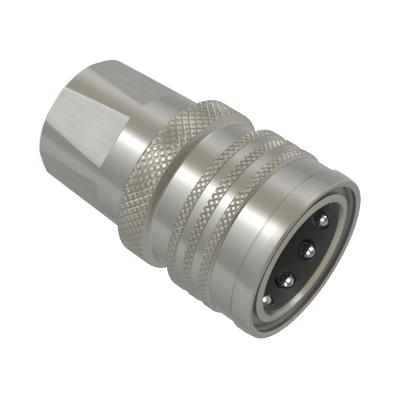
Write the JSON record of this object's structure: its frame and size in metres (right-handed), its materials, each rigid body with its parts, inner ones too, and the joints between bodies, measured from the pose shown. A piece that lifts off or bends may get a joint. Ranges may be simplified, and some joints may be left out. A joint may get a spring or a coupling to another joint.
{
  "type": "quick coupling",
  "caption": "Female half of a ball-lock hydraulic quick coupling: tapered port body with wrench flats, knurled grip flange, spring-loaded release sleeve, locking balls and a shut-off poppet.",
  "frame": {"origin": "centre of the port's end face, which the coupling stands on", "axes": "+Z along the coupling's axis, from the port towards the mouth of the socket; -Y square to one wrench flat"},
  "size_m": [0.0354, 0.0354, 0.0581],
  "materials": {
    "stainless": "satin, fine turned lines",
    "spring_steel": "drawn wire",
    "ball_steel": "polished",
    "seal_rubber": "matt black",
    "backup_plastic": "matt white"
  },
  "bodies": {
    "body": {"adapter_body": "stainless", "front_body": "stainless", "sleeve_retaining_ring": "spring_steel", "valve_guide": "stainless", "body_seal": "seal_rubber", "nipple_seal": "seal_rubber", "backup_ring": "backup_plastic", "sleeve_spring": "spring_steel", "valve_spring": "spring_steel"},
    "sleeve": {"sleeve": "stainless"},
    "poppet": {"poppet": "stainless", "poppet_seal": "seal_rubber"},
    "ball_01": {"locking_ball_01": "ball_steel"},
    "ball_02": {"locking_ball_02": "ball_steel"},
    "ball_03": {"locking_ball_03": "ball_steel"},
    "ball_04": {"locking_ball_04": "ball_steel"},
    "ball_05": {"locking_ball_05": "ball_steel"},
    "ball_06": {"locking_ball_06": "ball_steel"},
    "ball_07": {"locking_ball_07": "ball_steel"},
    "ball_08": {"locking_ball_08": "ball_steel"},
    "ball_09": {"locking_ball_09": "ball_steel"},
    "ball_10": {"locking_ball_10": "ball_steel"}
  },
  "joints": [
    {"name": "sleeve_slide", "type": "slide", "parent": "body", "child": "sleeve", "axis": [0, 0, -1], "range_m": [0, 0.0045], "stiffness_N_per_m": 2000, "springref_m": -0.003, "deforming": ["sleeve_spring"]},
    {"name": "poppet_slide", "type": "slide", "parent": "body", "child": "poppet", "axis": [0, 0, -1], "range_m": [0, 0.005], "stiffness_N_per_m": 800, "springref_m": -0.003, "deforming": ["valve_spring"]},
    {"name": "ball_01_slide", "type": "slide", "parent": "body", "child": "ball_01", "axis": [0.92, 0.3919, 0], "range_m": [0, 0.0012]},
    {"name": "ball_02_slide", "type": "slide", "parent": "body", "child": "ball_02", "axis": [0.514, 0.8578, 0], "range_m": [0, 0.0012]},
    {"name": "ball_03_slide", "type": "slide", "parent": "body", "child": "ball_03", "axis": [-0.0884, 0.9961, 0], "range_m": [0, 0.0012]},
    {"name": "ball_04_slide", "type": "slide", "parent": "body", "child": "ball_04", "axis": [-0.657, 0.7539, 0], "range_m": [0, 0.0012]},
    {"name": "ball_05_slide", "type": "slide", "parent": "body", "child": "ball_05", "axis": [-0.9746, 0.2238, 0], "range_m": [0, 0.0012]},
    {"name": "ball_06_slide", "type": "slide", "parent": "body", "child": "ball_06", "axis": [-0.92, -0.3919, 0], "range_m": [0, 0.0012]},
    {"name": "ball_07_slide", "type": "slide", "parent": "body", "child": "ball_07", "axis": [-0.514, -0.8578, 0], "range_m": [0, 0.0012]},
    {"name": "ball_08_slide", "type": "slide", "parent": "body", "child": "ball_08", "axis": [0.0884, -0.9961, 0], "range_m": [0, 0.0012]},
    {"name": "ball_09_slide", "type": "slide", "parent": "body", "child": "ball_09", "axis": [0.657, -0.7539, 0], "range_m": [0, 0.0012]},
    {"name": "ball_10_slide", "type": "slide", "parent": "body", "child": "ball_10", "axis": [0.9746, -0.2238, 0], "range_m": [0, 0.0012]}
  ],
  "couplings": [
    {"joint": "ball_01_slide", "follows": "sleeve_slide", "ratio": 0.26666},
    {"joint": "ball_02_slide", "follows": "sleeve_slide", "ratio": 0.26666},
    {"joint": "ball_03_slide", "follows": "sleeve_slide", "ratio": 0.26666},
    {"joint": "ball_04_slide", "follows": "sleeve_slide", "ratio": 0.26666},
    {"joint": "ball_05_slide", "follows": "sleeve_slide", "ratio": 0.26666},
    {"joint": "ball_06_slide", "follows": "sleeve_slide", "ratio": 0.26666},
    {"joint": "ball_07_slide", "follows": "sleeve_slide", "ratio": 0.26666},
    {"joint": "ball_08_slide", "follows": "sleeve_slide", "ratio": 0.26666},
    {"joint": "ball_09_slide", "follows": "sleeve_slide", "ratio": 0.26666},
    {"joint": "ball_10_slide", "follows": "sleeve_slide", "ratio": 0.26666}
  ]
}
